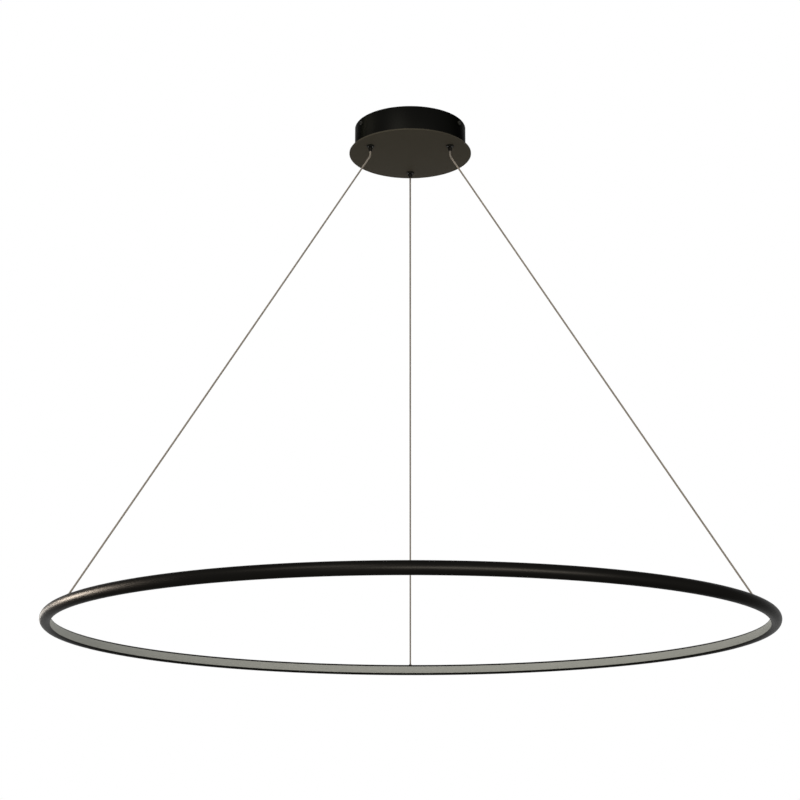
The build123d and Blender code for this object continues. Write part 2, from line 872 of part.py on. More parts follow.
# Gripper pieces
cable_tail = upright(cable_radius, -nozzle_reach, tail_top)
for side, azimuth in cable_azimuths.items():
    save(f"gripper_body_{side}", at_gripper(gripper_body(), azimuth))
    save(f"gripper_plunger_{side}", at_gripper(gripper_plunger(), azimuth))
    save(f"grip_balls_{side}", group(at_gripper(ball, azimuth) for ball in grip_balls()))
    save(f"gripper_spring_{side}", at_gripper(gripper_spring(), azimuth))
    save(f"cable_tail_{side}", at_gripper(cable_tail, azimuth))
shared_gripper_pieces = {
    "gripper_caps": gripper_cap(),
    "gripper_bushes": gripper_bush(),
    "gripper_collars": gripper_collar(),
    "cable_terminals": cable_terminal(),
}
for name, piece in shared_gripper_pieces.items():
    save(name, group(at_gripper(piece, azimuth) for azimuth in cable_azimuths.values()))

# Cables
sheath = cable_piece(cable_radius, core_diameter / 2 + core_fit)
core = cable_piece(core_diameter / 2)
for side, azimuth in cable_azimuths.items():
    save(f"cable_sheath_{side}", Rot(0, 0, azimuth) * sheath)
    save(f"cable_core_{side}", Rot(0, 0, azimuth) * core)

# Ring pieces
save("ring_profile", ring_profile())
save("diffuser", diffuser())
save("light_strip", light_strip())
save("light_bead", light_bead())
save("anchor_plugs", group(around(anchor_plug(), cable_azimuths.values())))
save("anchor_balls", group(around(anchor_ball(), cable_azimuths.values())))
for pole, side in live_cables.items():
    save(f"strip_lead_{pole}", Rot(0, 0, cable_azimuths[side]) * strip_lead())

print("ring middle", ring_z, "cable leaves the vertical by",
      round(degrees(atan2(cable_end.X - bend_corner.X, bend_corner.Z - cable_end.Z)), 2))
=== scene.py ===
# %% [markdown]
# # A ring pendant light
# A thin black tube, bent into a ring with a light strip in its inner face, hangs on three cables
# from a round canopy. This lesson dresses its construction model in Blender: every new piece is a
# surface worked out with numpy, and every finish is a short formula of shader nodes. The
# construction model is the fixed frame, so sizes and places are read from it, in metres, and
# nothing is moved to fit.

# %% Load the frame
import json
from math import asin, cos, pi, radians, sin

import bmesh
import bpy
import numpy as np
from mathutils import Matrix, Vector


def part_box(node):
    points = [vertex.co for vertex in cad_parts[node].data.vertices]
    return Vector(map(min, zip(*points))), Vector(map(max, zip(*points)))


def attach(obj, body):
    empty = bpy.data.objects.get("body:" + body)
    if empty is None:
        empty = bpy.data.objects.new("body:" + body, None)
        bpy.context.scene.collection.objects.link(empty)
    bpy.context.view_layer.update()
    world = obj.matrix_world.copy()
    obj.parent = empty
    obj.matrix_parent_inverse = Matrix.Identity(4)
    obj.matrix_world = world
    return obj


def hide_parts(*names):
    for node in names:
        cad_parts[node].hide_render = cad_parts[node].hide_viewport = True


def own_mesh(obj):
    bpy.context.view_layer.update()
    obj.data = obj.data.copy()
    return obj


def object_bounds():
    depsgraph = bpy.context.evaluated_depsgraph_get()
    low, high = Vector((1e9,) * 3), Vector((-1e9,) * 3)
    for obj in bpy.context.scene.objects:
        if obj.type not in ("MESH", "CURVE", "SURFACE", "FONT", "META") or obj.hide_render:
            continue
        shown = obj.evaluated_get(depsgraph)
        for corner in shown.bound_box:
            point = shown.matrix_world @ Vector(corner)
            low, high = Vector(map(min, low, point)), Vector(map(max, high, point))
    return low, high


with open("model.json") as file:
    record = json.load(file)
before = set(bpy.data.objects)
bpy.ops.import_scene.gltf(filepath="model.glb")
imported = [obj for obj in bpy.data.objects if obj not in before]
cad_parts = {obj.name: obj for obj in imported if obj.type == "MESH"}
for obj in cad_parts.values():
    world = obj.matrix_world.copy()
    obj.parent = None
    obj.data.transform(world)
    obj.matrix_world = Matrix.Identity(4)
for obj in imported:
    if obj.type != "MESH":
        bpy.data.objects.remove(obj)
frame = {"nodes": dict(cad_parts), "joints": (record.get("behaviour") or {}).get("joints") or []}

cad_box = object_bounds()
print("size", [round(high - low, 4) for low, high in zip(*cad_box)])

# %% [markdown]
# ## The camera
# The picture is taken from in front of the light and a little below the ring, looking up. The
# place, the turns and the focal length come from a pinhole fit to the outlines of the ring and the
# canopy. The turns are multiplied as matrices, because a roll about the line of sight has to be
# applied before the tilt.

# %% Camera
camera_place = (0.0011, -2.8599, -1.2856)
camera_heading = radians(0.371)
camera_rise = radians(15.35)
camera_roll = radians(0.091)
sensor_width = 36.0  # millimetres
focal_length = 78.14  # millimetres

camera_data = bpy.data.cameras.new("camera")
camera_data.sensor_width = sensor_width
camera_data.lens = focal_length
camera = bpy.data.objects.new("camera", camera_data)
bpy.context.scene.collection.objects.link(camera)
camera.matrix_world = (
    Matrix.Translation(camera_place)
    @ Matrix.Rotation(camera_heading, 4, "Z")
    @ Matrix.Rotation(radians(90) + camera_rise, 4, "X")
    @ Matrix.Rotation(camera_roll, 4, "Z")
)
bpy.context.scene.camera = camera
bpy.context.scene.view_settings.view_transform = "Standard"
print("camera at", camera_place, "with a lens of", focal_length, "mm")

# %% [markdown]
# ## Shader formulas
# A finish is easier to read as a formula than as a list of links. `Signal` wraps a socket, and each
# operator on it adds one Math node, so that `0.4 + 0.1 * clouds` is a roughness.

# %% Signals
class Signal:
    """A socket that can stand in a formula."""

    def __init__(self, nodes, socket):
        self.nodes = nodes
        self.socket = socket

    def math(self, operation, first, second):
        return self.nodes.add("ShaderNodeMath", {"operation": operation}, {0: first, 1: second})

    def __add__(self, other):
        return self.math("ADD", self, other)

    def __sub__(self, other):
        return self.math("SUBTRACT", self, other)

    def __rsub__(self, other):
        return self.math("SUBTRACT", other, self)

    def __mul__(self, other):
        return self.math("MULTIPLY", self, other)

    __radd__ = __add__
    __rmul__ = __mul__

    def larger(self, other):
        return self.math("MAXIMUM", self, other)


print("signals can be added, subtracted, multiplied and compared")

# %% [markdown]
# `Nodes.add` makes every other node. A node's own settings come first, because some of them change
# which sockets it has, and then its sockets get their values or links. The other methods are short
# names for what the finishes use most.

# %% Nodes
class Nodes:
    """The nodes of a material or of the world."""

    def __init__(self, tree):
        self.tree = tree

    def add(self, kind, settings=None, values=None, output=0):
        """One node. A colour ramp's setting "stops" holds pairs of place and colour."""
        node = self.tree.nodes.new(kind)
        for key, setting in (settings or {}).items():
            if key == "stops":
                self.set_stops(node.color_ramp.elements, setting)
            else:
                setattr(node, key, setting)
        for key, value in (values or {}).items():
            self.feed(node.inputs[key], value)
        return Signal(self, node.outputs[output])

    def set_stops(self, elements, stops):
        while len(elements) < len(stops):
            elements.new(1.0)
        for element, (place, colour) in zip(elements, stops):
            element.position = place
            element.color = colour

    def feed(self, socket, value):
        if isinstance(value, Signal):
            self.tree.links.new(value.socket, socket)
        else:
            socket.default_value = value

    def blend(self, share, first, second):
        """A colour between two colours."""
        values = {0: share, 6: first, 7: second}
        return self.add("ShaderNodeMix", {"data_type": "RGBA"}, values, output=2)

    def place(self, kind="Object"):
        return self.add("ShaderNodeTexCoord", output=kind)

    def stretch(self, vector, scale):
        """The same coordinates, scaled along each axis."""
        return self.add("ShaderNodeMapping", {}, {"Vector": vector, "Scale": scale})

    def noise(self, vector, scale, detail=2.0):
        values = {"Vector": vector, "Scale": scale, "Detail": detail}
        return self.add("ShaderNodeTexNoise", {}, values)

    def bump(self, height, strength, depth):
        values = {"Height": height, "Strength": strength, "Distance": depth}
        return self.add("ShaderNodeBump", {}, values)


print("nodes can be added, blended and stretched")

# %% [markdown]
# A finish is one material with one Principled surface. The helper hands out the nodes to write
# formulas with, and a function that sets the surface's sockets: a formula becomes a link, and a
# plain number stays on the socket.

# %% Finishes
def rgb(red, green, blue):
    return (red, green, blue, 1.0)


def finish(name):
    """A new material, its nodes and a function that sets the sockets of its surface."""
    material = bpy.data.materials.new(name)
    material.use_nodes = True
    nodes = Nodes(material.node_tree)
    shader = material.node_tree.nodes["Principled BSDF"]

    def surface(values):
        for key, value in values.items():
            nodes.feed(shader.inputs[key], value)
        return material

    return nodes, surface


print("finishes can be made")

# %% [markdown]
# ## The studio
# The background is plain white, and black paint and clear vinyl show that white too. It could be a
# lit wall, but then the wall would light the object. So the world is white to camera, glossy and
# transmitted rays, and gives a weaker, even light to everything else.

# %% World
pure_white = rgb(1.0, 1.0, 1.0)
ambient_strength = 0.55
world = bpy.data.worlds.new("studio")
world.use_nodes = True
bpy.context.scene.world = world


def background_rays(nodes):
    """1 for camera, glossy and transmitted rays, which see the background, and 0 for all others."""
    seen, mirrored, transmitted = (nodes.add("ShaderNodeLightPath", output=f"Is {kind} Ray")
                                   for kind in ("Camera", "Glossy", "Transmission"))
    return seen.larger(mirrored).larger(transmitted)


sky = Nodes(world.node_tree)
background = world.node_tree.nodes["Background"]
sky.feed(background.inputs["Color"], pure_white)
seen_strength = (1 - ambient_strength) * background_rays(sky)
sky.feed(background.inputs["Strength"], ambient_strength + seen_strength)
print("world is ready, ambient", ambient_strength)

# %% [markdown]
# One soft box on the left lights the object. The other lamps are cards, which only show in gloss: a
# long one behind the camera draws the thin line along the front of the tube, and a small one behind
# the object adds a faint glint from the rear left. Lamps with diffuse light could draw the same
# lines, but they would lift every tone, so a card leaves the diffuse light alone.

# %% Lamps
warm_white = (1.0, 0.96, 0.9)
object_middle = (cad_box[0] + cad_box[1]) / 2


def softbox(name, place, size, power, colour=warm_white, gloss_only=True,
            towards=object_middle, spread=180.0):
    """A rectangular lamp that faces one point. With gloss_only it is a card that just shows in
    reflections. The spread, in degrees, narrows the light as a grid in front of a lamp does."""
    lamp = bpy.data.lights.new(name, "AREA")
    lamp.shape = "RECTANGLE"
    lamp.size, lamp.size_y = size
    lamp.energy = power
    lamp.color = colour
    lamp.spread = radians(spread)
    holder = bpy.data.objects.new(name, lamp)
    bpy.context.scene.collection.objects.link(holder)
    direction = Vector(towards) - Vector(place)
    holder.rotation_euler = direction.to_track_quat("-Z", "Y").to_euler()
    holder.location = place
    holder.visible_diffuse = not gloss_only
    holder.visible_transmission = not gloss_only
    return holder


softbox("key_box", place=(-1.6, -3.4, 0.7), size=(1.6, 1.6), power=66.0, gloss_only=False)
softbox("front_card", place=(1.4, -3.9, -1.3), size=(4.0, 1.1), power=300.0)
softbox("rear_card", place=(-2.0, 2.2, -0.65), size=(1.0, 0.4), power=8.0)

# %% [markdown]
# The floor is a pale disc. Its shading keeps the shadow of the object, and for the same rays as in
# the world it passes into the white of the background: half way near the object, and wholly towards
# the rim, so that no edge shows. It has one side only, so that from below the object is seen
# through it.

# %% Floor finish
fade_start = 1.0
fade_end = 6.5
nearest_white = 0.5


def pale_floor():
    """White's share = a smooth step of the distance from the middle, for the rays that see the
    background, and none for all others. The underside is clear."""
    nodes, surface = finish("pale_floor")
    place = nodes.place()
    clouds = nodes.noise(place, scale=1.5)
    material = surface(
        {
            "Base Color": nodes.blend(clouds, rgb(0.8, 0.79, 0.77), rgb(0.84, 0.83, 0.81)),
            "Roughness": 0.7 + 0.1 * clouds,
        }
    )
    away = nodes.add("ShaderNodeVectorMath", {"operation": "LENGTH"}, {0: place}, output="Value")
    fade = nodes.add(
        "ShaderNodeMapRange",
        {"interpolation_type": "SMOOTHSTEP"},
        {
            "Value": away,
            "From Min": fade_start,
            "From Max": fade_end,
            "To Min": nearest_white,
            "To Max": 1.0,
        },
    )
    white = nodes.add("ShaderNodeEmission", {}, {"Color": pure_white, "Strength": 1.0})
    shaded = Signal(nodes, material.node_tree.nodes["Principled BSDF"].outputs[0])
    share = fade * background_rays(nodes)
    mixed = nodes.add("ShaderNodeMixShader", {}, {0: share, 1: shaded, 2: white})
    underside = nodes.add("ShaderNodeNewGeometry", output="Backfacing")
    clear = nodes.add("ShaderNodeBsdfTransparent")
    one_sided = nodes.add("ShaderNodeMixShader", {}, {0: 1 - underside, 1: clear, 2: mixed})
    nodes.feed(material.node_tree.nodes["Material Output"].inputs["Surface"], one_sided)
    return material


floor_finish = pale_floor()
print("floor finish", floor_finish.name)

# %% [markdown]
# The disc is a single face with many corners. A square would do for the shadow, but its corners
# would show where a camera looks down on it.

# %% Floor
floor_z = -2.4
floor_radius = 8.0
floor_corners = 128


def turn_angles(count):
    """Angles at even steps round one turn."""
    return np.arange(count) * 2 * pi / count


def circle(radius, count):
    angle = turn_angles(count)
    return radius * np.stack([np.cos(angle), np.sin(angle)], axis=1)


floor_rim = np.hstack([circle(floor_radius, floor_corners), np.full((floor_corners, 1), floor_z)])
floor_mesh = bpy.data.meshes.new("floor")
floor_mesh.from_pydata(floor_rim, [], [np.arange(floor_corners)])
floor_mesh.materials.append(floor_finish)
floor = bpy.data.objects.new("floor", floor_mesh)
bpy.context.scene.collection.objects.link(floor)
print("floor at", floor_z)

# %% [markdown]
# ## From formulas to meshes
# Every new piece is one or more grids of points: rows run along the piece, and columns run round
# it. Neighbours join into quads, the seams close, and the faces turn outwards by the sign of the
# enclosed volume. The UV map runs from 0 to 1 along the rows and round the columns. Modifiers could
# give the same shapes, but a grid of points follows its formula exactly.

# %% Grid helpers
up = np.array([0.0, 0.0, 1.0])


def unit(vectors):
    return vectors / np.linalg.norm(vectors, axis=-1, keepdims=True)


def grid_quads(points, wrap_rows):
    """Corner indices and UVs of a grid's quads. Columns always wrap, rows only if asked."""
    rows, columns = points.shape[:2]
    spans = rows if wrap_rows else rows - 1
    corner = np.array([(0, 0), (1, 0), (1, 1), (0, 1)])
    row = np.arange(spans)[:, None, None] + corner[:, 0]
    column = np.arange(columns)[None, :, None] + corner[:, 1]
    quads = (row % rows) * columns + column % columns
    uv = np.stack(np.broadcast_arrays(row / spans, column / columns), axis=-1)
    return quads.reshape(-1, 4), uv.reshape(-1, 4, 2)


def facing_out(points, quads, uv):
    """Turn the quads over if the volume that they enclose is negative."""
    a, b, c, d = (points[quads[:, k]] for k in range(4))
    volume = np.sum(a * np.cross(b, c)) + np.sum(a * np.cross(c, d))
    return (quads, uv) if volume > 0 else (quads[:, ::-1], uv[:, ::-1])


print("grids can be joined into quads")

# %% [markdown]
# A piece is made in one go: its grids become one mesh, points that fall together at a pole are
# merged, and edges sharper than the crease angle stay sharp. Then it is parented to the body that
# carries it, and the nodes that it stands for are hidden.

# %% Pieces
def merge_poles(mesh, apart=1e-7):
    """Join the points that lie in one place."""
    work = bmesh.new()
    work.from_mesh(mesh)
    bmesh.ops.remove_doubles(work, verts=work.verts, dist=apart)
    work.to_mesh(mesh)
    work.free()


def piece(name, shells, material, body, nodes, wrap_rows=False, crease=40):
    """One object from several grids. It rides on a body and stands for the given nodes."""
    points, quads, uvs = [], [], []
    start = 0
    for shell in shells:
        faces, uv = facing_out(shell.reshape(-1, 3), *grid_quads(shell, wrap_rows))
        points.append(shell.reshape(-1, 3))
        quads.append(faces + start)
        uvs.append(uv)
        start += len(points[-1])
    mesh = bpy.data.meshes.new(name)
    mesh.from_pydata(np.concatenate(points), [], np.concatenate(quads))
    mesh.uv_layers.new(name="UVMap").data.foreach_set("uv", np.concatenate(uvs).ravel())
    merge_poles(mesh)
    mesh.shade_smooth()
    mesh.set_sharp_from_angle(angle=radians(crease))
    mesh.materials.append(material)
    made = bpy.data.objects.new(name, mesh)
    bpy.context.scene.collection.objects.link(made)
    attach(made, body)
    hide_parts(*nodes)
    print(name, len(mesh.polygons), "faces on", body)
    return made


print("pieces can be made")

# %% [markdown]
# Real edges are never quite sharp, and a small round catches a line of light. A Bevel modifier
# could add it, but here the outline itself is rounded before it is turned or carried, which keeps
# the mesh even.

# %% Outlines
def softened(corners, radius, steps=5):
    """A closed outline with rounded corners. Each arc's centre lies on the corner's bisector, and
    its points turn evenly from the tangent point on one side to the tangent point on the other."""
    corners = np.asarray(corners, float)
    back = unit(np.roll(corners, 1, axis=0) - corners)
    ahead = unit(np.roll(corners, -1, axis=0) - corners)
    half = np.arccos(np.clip(np.sum(back * ahead, axis=1, keepdims=True), -1, 1)) / 2
    centre = corners + unit(back + ahead) * radius / np.sin(half)
    first = corners + back * radius / np.tan(half) - centre
    last = corners + ahead * radius / np.tan(half) - centre
    turn = (pi - 2 * half)[:, None]
    share = np.linspace(0, 1, steps)[None, :, None]
    arcs = np.sin((1 - share) * turn) * first[:, None] + np.sin(share * turn) * last[:, None]
    return (centre[:, None] + arcs / np.sin(turn)).reshape(-1, 2)


def rounded_corner(before, corner, after, radius, steps=5):
    """The arc at the middle one of three points."""
    return softened([before, corner, after], radius, steps)[steps : 2 * steps]


def capped(corners, radius, steps=5):
    """An open outline. Its two ends stay sharp, as a solid that is turned about its axis needs."""
    inner = softened(corners, radius, steps)[steps:-steps]
    return np.vstack([corners[0], inner, corners[-1]])


print("outlines can be rounded")

# %% [markdown]
# The canopy, the grippers, the grommets and the screws are all lathe work: an outline turned about
# an axis. A Screw modifier could turn it, but as a formula of angle and outline the points are
# there at once.

# %% Turned shapes
def turned(outline, origin=(0.0, 0.0, 0.0), axis=up, columns=96):
    """A surface of revolution: origin + height * axis + radius * (cos a * side + sin a * across),
    where each row is a point (radius, height) of the outline and each column is an angle a."""
    axis = unit(np.asarray(axis, float))
    level = np.cross(up, axis)
    side = unit(level) if level.any() else np.array([1.0, 0.0, 0.0])
    across = np.cross(axis, side)
    angle = turn_angles(columns)[None, :, None]
    radius, height = outline[:, None, :1], outline[:, None, 1:]
    around = np.cos(angle) * side + np.sin(angle) * across
    return np.asarray(origin) + height * axis + radius * around


def outward(azimuth):
    return np.array([cos(azimuth), sin(azimuth), 0.0])


def spot(azimuth, distance, height=0.0):
    """The point at a distance from the object's axis and at a height, towards an azimuth."""
    return distance * outward(azimuth) + height * up


print("outlines can be turned")

# %% [markdown]
# ## Black coat
# Tube, canopy and grippers are black. A single flat black would look like a hole in the picture: a
# fine grain breaks up the gloss, and slow clouds move the tone a little. Ordinary paint would
# mirror the white surroundings at glancing angles and turn grey at its rims. So the cup is a very
# dark metal, whose edge tint dims that mirror, and the plate below it is matt and a lighter brown:
# painted light, for the bounce from the floor on its underside.

# %% Coat
grain_scale = 3200.0
grain_depth = 0.00002


def black_coat(name, tone, lighter, sheen=0.06, roughness=0.36, edge=(1.0, 0.93, 0.8), metal=0.0):
    """Tone and roughness = a base + clouds. The bump is a grain of about 0.3 millimetres."""
    nodes, surface = finish(name)
    place = nodes.place()
    clouds = nodes.noise(place, scale=14.0, detail=3.0)
    grain = nodes.noise(place, grain_scale)
    return surface(
        {
            "Base Color": nodes.blend(clouds, tone, lighter),
            "Roughness": roughness + 0.1 * clouds + 0.06 * grain,
            "Metallic": metal,
            "Specular IOR Level": sheen,
            "Specular Tint": rgb(*edge),
            "Normal": nodes.bump(grain, strength=0.1, depth=grain_depth),
        }
    )


brown_black, light_brown_black = rgb(0.006, 0.006, 0.0055), rgb(0.009, 0.0085, 0.007)
canopy_coat = black_coat("canopy_coat", rgb(0.0034, 0.0034, 0.003), rgb(0.0046, 0.0046, 0.0041),
                         edge=(0.42, 0.42, 0.42), metal=1.0)
# The plate's lighter brown is painted light: the bounce from the floor on its underside.
plate_coat_painted_bounce = black_coat("plate_coat_painted_bounce", rgb(0.052, 0.046, 0.034), rgb(0.058, 0.051, 0.038),
                        sheen=0.01, roughness=0.5)
screw_coat = black_coat("screw_coat", rgb(0.012, 0.012, 0.01), rgb(0.016, 0.016, 0.013),
                        roughness=0.45)
nozzle_coat = black_coat("nozzle_coat", brown_black, light_brown_black, sheen=0.03, roughness=0.4)
collar_coat = black_coat("collar_coat", brown_black, light_brown_black, sheen=0.05, roughness=0.5)
coats = [canopy_coat, plate_coat_painted_bounce, screw_coat, nozzle_coat, collar_coat]
print("coats", [coat.name for coat in coats])

# %% [markdown]
# ## Suspension cables
# Each cable is a steel rope in a clear sheath. It leaves its gripper straight down, bends below the
# nozzle and runs taut to the ring, with a sag of less than a millimetre. Straight runs with rounded
# corners would look like bent wire, so its line is a NURBS spline with the route's points as its
# control points.

# %% Cable route
cable_azimuths = {"rear": radians(90), "left": radians(210), "right": radians(330)}
cable_diameter = 0.003
cable_length = 0.9695
gripper_low, gripper_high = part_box("gripper_body_rear")
gripper_radius = (gripper_low.y + gripper_high.y) / 2
nozzle_low, nozzle_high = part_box("gripper_plunger_rear")
tip_z = nozzle_low.z

# The route as (distance from the axis, height): inside the nozzle, nozzle tip, corner of the bend,
# a point as far after the corner, the middle of the run, a point close to the ring, and the anchor
# in the ring.
cable_route = np.array(
    [
        (0.0806, -0.0495),
        (0.0806, -0.0595),
        (0.0806, -0.0685),
        (0.08536, -0.07614),
        (0.3323, -0.4735),
        (0.57924, -0.86888),
        (0.58876, -0.88416),
    ]
)


def even_steps(line, count):
    """Lengths along the line are added up, and even shares of the whole are looked up in them."""
    far = np.concatenate([[0.0], np.cumsum(np.linalg.norm(np.diff(line, axis=0), axis=1))])
    share = np.linspace(0, far[-1], count)
    return np.stack([np.interp(share, far, line[:, k]) for k in range(3)], axis=1)


def cable_line(name, azimuth, count):
    """Points at even steps along the NURBS spline of a cable's route."""
    curve = bpy.data.curves.new(name, "CURVE")
    curve.dimensions = "3D"
    spline = curve.splines.new("NURBS")
    spline.points.add(len(cable_route) - 1)
    spots = cable_route[:, :1] * outward(azimuth) + cable_route[:, 1:] * up
    spline.points.foreach_set("co", np.hstack([spots, np.ones((len(spots), 1))]).ravel())
    spline.order_u = 3
    spline.use_endpoint_u = True
    spline.resolution_u = 48
    holder = bpy.data.objects.new(name, curve)
    mesh = bpy.data.meshes.new_from_object(holder)
    line = np.empty(len(mesh.vertices) * 3)
    mesh.vertices.foreach_get("co", line)
    bpy.data.objects.remove(holder)
    return even_steps(line.reshape(-1, 3), count)


print("cable route of", len(cable_route), "points, nozzle tips at", round(tip_z, 4))

# %% [markdown]
# The sheath is a circle carried along the line. The rope could be a plain tube too, but six strands
# that wind round the line catch the light as the real one does, so it is a lobed profile that turns
# while it is carried.

# %% Profiles along a line
rope_radius = 0.0006
rope_strands = 6


def closed_ends(body, line):
    """The body with a first and a last row that close to points on the line."""
    ends = np.repeat(line[[0, -1], None], body.shape[1], axis=1)
    return np.concatenate([ends[:1], body, ends[1:]])


def carried(line, side, profile):
    """A closed profile carried along a line in a plane: point = line + x * side + y * across, with
    across = side x tangent. The profile holds (x, y) for each row and column."""
    across = np.cross(side, unit(np.gradient(line, axis=0)))
    body = line[:, None] + profile[..., :1] * side + profile[..., 1:] * across[:, None]
    return closed_ends(body, line)


def round_profile(rows, columns, radius):
    return np.broadcast_to(circle(radius, columns), (rows, columns, 2))


def from_nearest(angle, step):
    """The angle from the nearest multiple of the step."""
    return (angle + step / 2) % step - step / 2


def rope_profile(rows, turns, columns=30):
    """Round strands about a middle one. In the direction a from the nearest strand's middle, the
    outline is at p cos a + sqrt(s^2 - p^2 sin^2 a), with p the radius of the strands' circle and
    s = p / 2 that of one strand, so that the rope's radius is 1.5 p. Each row turns it further."""
    angle = turn_angles(columns)
    nearest = from_nearest(angle, 2 * pi / rope_strands)
    pitch = rope_radius / 1.5
    reach = pitch * np.cos(nearest)
    reach = reach + np.sqrt(np.maximum((pitch / 2) ** 2 - (pitch * np.sin(nearest)) ** 2, 0))
    turn = np.linspace(0, turns * 2 * pi, rows)[:, None]
    return np.stack([reach * np.cos(angle + turn), reach * np.sin(angle + turn)], axis=-1)


print("rope of", rope_strands, "strands round a middle one, radius", rope_radius)

# %% [markdown]
# The sheath is clear vinyl with a warm haze. Clear glass would vanish against white, so only a part
# of the light passes through it and the rest is scattered. The rope is bare steel. Its UV map runs
# once round all the strands, so a cosine of it paints shade into the valleys between them.

# %% Cable finishes
def clear_vinyl():
    nodes, surface = finish("clear_vinyl")
    haze = nodes.noise(nodes.place(), scale=600.0)
    return surface(
        {
            "Base Color": nodes.blend(haze, rgb(0.29, 0.255, 0.212), rgb(0.34, 0.3, 0.25)),
            "Roughness": 0.52 + 0.1 * haze,
            "IOR": 1.35,
            "Specular IOR Level": 0.03,
            "Transmission Weight": 0.28,
        }
    )


def rope_steel():
    """Tone = a cosine round the strands that paints shade into their valleys, broken by streaks."""
    nodes, surface = finish("rope_steel")
    round_share = nodes.add("ShaderNodeSeparateXYZ", {}, {"Vector": nodes.place("UV")}, output="Y")
    turn = round_share * (2 * pi * rope_strands)
    wave = nodes.add("ShaderNodeMath", {"operation": "COSINE"}, {0: turn})
    # Painted shade: the colour darkens along a cosine in the valleys between the strands.
    painted_valley_shade = 0.5 + 0.5 * wave
    streaks = nodes.noise(nodes.place(), scale=1800.0)
    tone = painted_valley_shade * (0.7 + 0.3 * streaks)
    return surface(
        {
            "Base Color": nodes.blend(tone, rgb(0.3, 0.29, 0.27), rgb(0.5, 0.48, 0.45)),
            "Roughness": 0.62 + 0.15 * streaks,
            "Metallic": 1.0,
        }
    )


sheath_finish = clear_vinyl()
rope_finish = rope_steel()
print("cable finishes", sheath_finish.name, rope_finish.name)

# %% [markdown]
# When the ring is raised, the real cables slide up through the grippers. Here the point inside the
# nozzle and the drop from it to the ring are worked out, and each cable gets a mesh of its own.

# %% Cables
sheath_rows = 240
sheath_columns = 16
rope_rows = 1160
rope_lay = 0.01  # length of one turn of the strands


def travel(name):
    """How far a sliding joint goes from rest."""
    return next(joint for joint in frame["joints"] if joint["name"] == name)["range_m"][1]


ring_rise = travel("ring_height")
for side_name, azimuth in cable_azimuths.items():
    beside = np.cross(up, outward(azimuth))
    exit_point = spot(azimuth, gripper_radius, tip_z)
    fine = cable_line("rope_line", azimuth, rope_rows)
    coarse = cable_line("sheath_line", azimuth, sheath_rows)
    strands = carried(fine, beside, rope_profile(rope_rows, cable_length / rope_lay))
    cover = carried(coarse, beside, round_profile(sheath_rows, sheath_columns, cable_diameter / 2))
    rope = piece(f"cable_rope_{side_name}", [strands], rope_finish, "cables",
                 [f"cable_core_{side_name}"])
    sheath = piece(f"cable_cover_{side_name}", [cover], sheath_finish, "cables",
                   [f"cable_sheath_{side_name}"])
    held = (coarse[0] + exit_point) / 2
    drop = held[2] - coarse[-1, 2]
    for part in (rope, sheath):
        1 - ring_rise / drop
        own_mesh(part)

# %% [markdown]
# ## The ring
# The ring is one aluminium tube with a slot along its inner face. Its section is the outer circle,
# the two lips of the slot and the bore with a flat seat for the light strip. A bevelled curve could
# carry it, but as a function of two angles the ring is exact, and the long highlight stays
# perfectly even.

# %% Ring section
ring_low, ring_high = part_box("ring_profile")
tube_radius = (ring_high.z - ring_low.z) / 2
ring_radius = ring_high.x - tube_radius
ring_z = (ring_high.z + ring_low.z) / 2
tube_wall = 0.0018
slot_half = 0.0066
seat_offset = 0.0045
lip_round = 0.0003
outer_points = 60
bore_points = 10
ring_rows = 600


def arc(radius, start, end, count):
    angle = np.linspace(start, end, count)
    return radius * np.stack([np.cos(angle), np.sin(angle)], axis=1)


def tube_section():
    """Points (outwards, up) from the middle of the tube, clockwise from the upper lip."""
    bore = tube_radius - tube_wall
    lip_angle = pi - asin(slot_half / tube_radius)
    bore_angle = pi - asin(slot_half / bore)
    seat_angle = np.arccos(seat_offset / bore)
    outer = arc(tube_radius, lip_angle, -lip_angle, outer_points)
    lower = arc(bore, -bore_angle, -seat_angle, bore_points)
    upper = arc(bore, seat_angle, bore_angle, bore_points)
    return np.vstack(
        [
            outer[1:-1],
            rounded_corner(outer[-2], outer[-1], lower[0], lip_round),
            rounded_corner(outer[-1], lower[0], lower[1], lip_round),
            lower[1:],
            upper[:-1],
            rounded_corner(upper[-2], upper[-1], outer[0], lip_round),
            rounded_corner(upper[-1], outer[0], outer[1], lip_round),
        ]
    )


def round_the_ring(section):
    """Point = (ring radius + outwards) * direction + (ring height + up) * Z, for each direction."""
    angle = turn_angles(ring_rows)
    direction = np.stack([np.cos(angle), np.sin(angle), np.zeros(ring_rows)], axis=1)[:, None]
    reach = (ring_radius + section[:, 0])[None, :, None]
    height = (ring_z + section[:, 1])[None, :, None]
    return reach * direction + height * up


print("ring radius", round(ring_radius, 4), "section of", len(tube_section()), "points")

# %% [markdown]
# The tube's coat is a satin black on metal, very dark, with faint lines along the tube from drawing
# it. They follow the UV map: long along the ring, and close together round the section. As on the
# cup, an edge tint keeps the white surroundings from greying the tube's rims.

# %% Tube finish and tube
def drawn_coat():
    """Tone = clouds, and roughness = a base + clouds + lines along the tube."""
    nodes, surface = finish("tube_coat")
    place = nodes.place()
    clouds = nodes.noise(place, scale=11.0, detail=3.0)
    grain = nodes.noise(place, grain_scale)
    lines = nodes.noise(nodes.stretch(nodes.place("UV"), (30.0, 150.0, 1.0)), scale=1.0)
    tone, lighter = rgb(0.0058, 0.0054, 0.0048), rgb(0.0086, 0.0081, 0.0072)
    return surface(
        {
            "Base Color": nodes.blend(clouds, tone, lighter),
            "Metallic": 1.0,
            "Roughness": 0.36 + 0.05 * clouds + 0.02 * lines,
            "Specular Tint": rgb(0.5, 0.5, 0.5),
            "Normal": nodes.bump(grain, strength=0.01, depth=grain_depth),
        }
    )


ring_tube = piece("ring_tube", [round_the_ring(tube_section())], drawn_coat(), "ring",
                  ["ring_profile"], wrap_rows=True)

